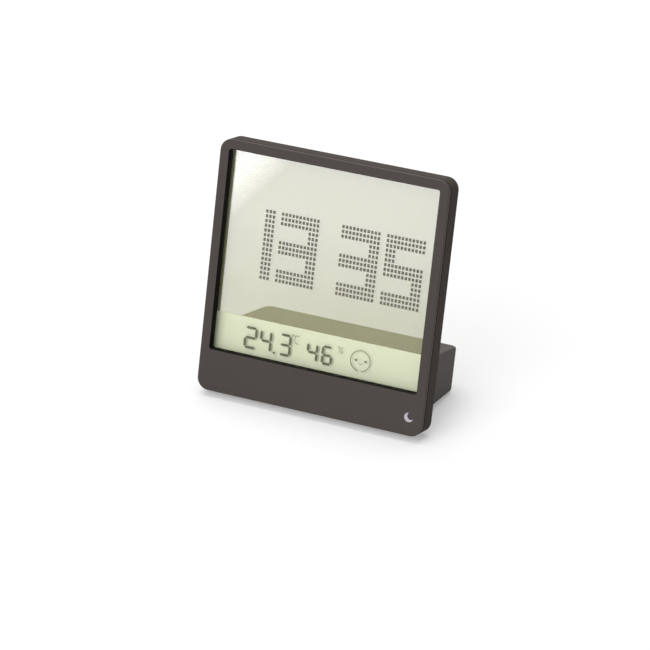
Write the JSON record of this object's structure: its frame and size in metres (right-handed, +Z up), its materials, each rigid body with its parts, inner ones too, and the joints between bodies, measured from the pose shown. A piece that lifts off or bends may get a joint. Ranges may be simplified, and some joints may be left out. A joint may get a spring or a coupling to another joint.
{
  "type": "thermometer hygrometer clock",
  "caption": "Desk clock with thermometer and hygrometer: a square dark frame round a see-through display, leaning back on a block that holds cells, keys and electronics.",
  "frame": {"origin": "on the ground, below the middle of the whole clock's bounding box", "axes": "+Z up, the display faces -Y and leans back towards +Y, +X to the right of a viewer in front"},
  "size_m": [0.11, 0.0576, 0.1146],
  "materials": {
    "case_plastic": "satin dark grey-brown",
    "base_plastic": "fine grain, dark grey-brown",
    "liner_plastic": "matt black",
    "lcd_glass": "clear",
    "polariser_film": "clear, faintly tinted",
    "reflector": "satin yellow-green white",
    "foam": "black foam",
    "flex_film": "amber film",
    "cell_case": "plain foil wrap",
    "contact_steel": "nickel plated",
    "board_laminate": "green solder mask",
    "chip_resin": "black resin",
    "connector_plastic": "natural white",
    "switch_plastic": "black with metal cover",
    "key_plastic": "satin grey-brown",
    "screw_steel": "dark zinc",
    "foot_rubber": "matt black"
  },
  "bodies": {
    "clock": {"front_bezel": "case_plastic", "window_liner": "liner_plastic", "rear_shell": "case_plastic", "front_polariser": "polariser_film", "front_glass": "lcd_glass", "rear_glass": "lcd_glass", "rear_polariser": "polariser_film", "reflector_film": "reflector", "panel_tape": "foam", "panel_flex": "flex_film", "touch_tail": "flex_film", "touch_foam": "foam", "block_housing": "case_plastic", "block_floor": "base_plastic", "cell_front": "cell_case", "cell_rear": "cell_case", "positive_contact": "contact_steel", "negative_contact": "contact_steel", "bridge_contact": "contact_steel", "spring_front": "contact_steel", "spring_rear": "contact_steel", "main_board": "board_laminate", "flex_connector": "connector_plastic", "controller": "chip_resin", "crystal": "contact_steel", "buzzer": "chip_resin", "key_board": "board_laminate", "key_flex": "flex_film", "mode_switch": "switch_plastic", "up_switch": "switch_plastic", "down_switch": "switch_plastic", "unit_switch": "switch_plastic", "alarm_switch": "contact_steel", "humidity_sensor": "connector_plastic", "thermistor": "chip_resin", "frame_screw_1": "screw_steel", "frame_screw_2": "screw_steel", "frame_screw_3": "screw_steel", "frame_screw_4": "screw_steel", "floor_screw_1": "screw_steel", "floor_screw_2": "screw_steel", "floor_screw_3": "screw_steel", "floor_screw_4": "screw_steel", "board_screw_1": "screw_steel", "board_screw_2": "screw_steel", "board_screw_3": "screw_steel", "board_screw_4": "screw_steel", "key_screw_1": "screw_steel", "key_screw_2": "screw_steel", "front_foot_left": "foot_rubber", "front_foot_right": "foot_rubber", "rear_foot_left": "foot_rubber", "rear_foot_right": "foot_rubber"},
    "battery_door": {"battery_door": "base_plastic"},
    "mode_key": {"mode_key": "key_plastic"},
    "up_key": {"up_key": "key_plastic"},
    "down_key": {"down_key": "key_plastic"},
    "unit_key": {"unit_key": "key_plastic"},
    "alarm_knob": {"alarm_knob": "key_plastic"}
  },
  "joints": [
    {"name": "door_slide", "type": "slide", "parent": "clock", "child": "battery_door", "axis": [0, 0.994, -0.1097], "range_m": [0, 0.022]},
    {"name": "mode_key_press", "type": "slide", "parent": "clock", "child": "mode_key", "axis": [0, -0.972, 0.2351], "range_m": [0, 0.0006], "stiffness_N_per_m": 1500},
    {"name": "up_key_press", "type": "slide", "parent": "clock", "child": "up_key", "axis": [0, -0.972, 0.2351], "range_m": [0, 0.0006], "stiffness_N_per_m": 1500},
    {"name": "down_key_press", "type": "slide", "parent": "clock", "child": "down_key", "axis": [0, -0.972, 0.2351], "range_m": [0, 0.0006], "stiffness_N_per_m": 1500},
    {"name": "unit_key_press", "type": "slide", "parent": "clock", "child": "unit_key", "axis": [0, -0.972, 0.2351], "range_m": [0, 0.0006], "stiffness_N_per_m": 1500},
    {"name": "alarm_slide", "type": "slide", "parent": "clock", "child": "alarm_knob", "axis": [-1, 0, 0], "range_m": [0, 0.003]}
  ]
}
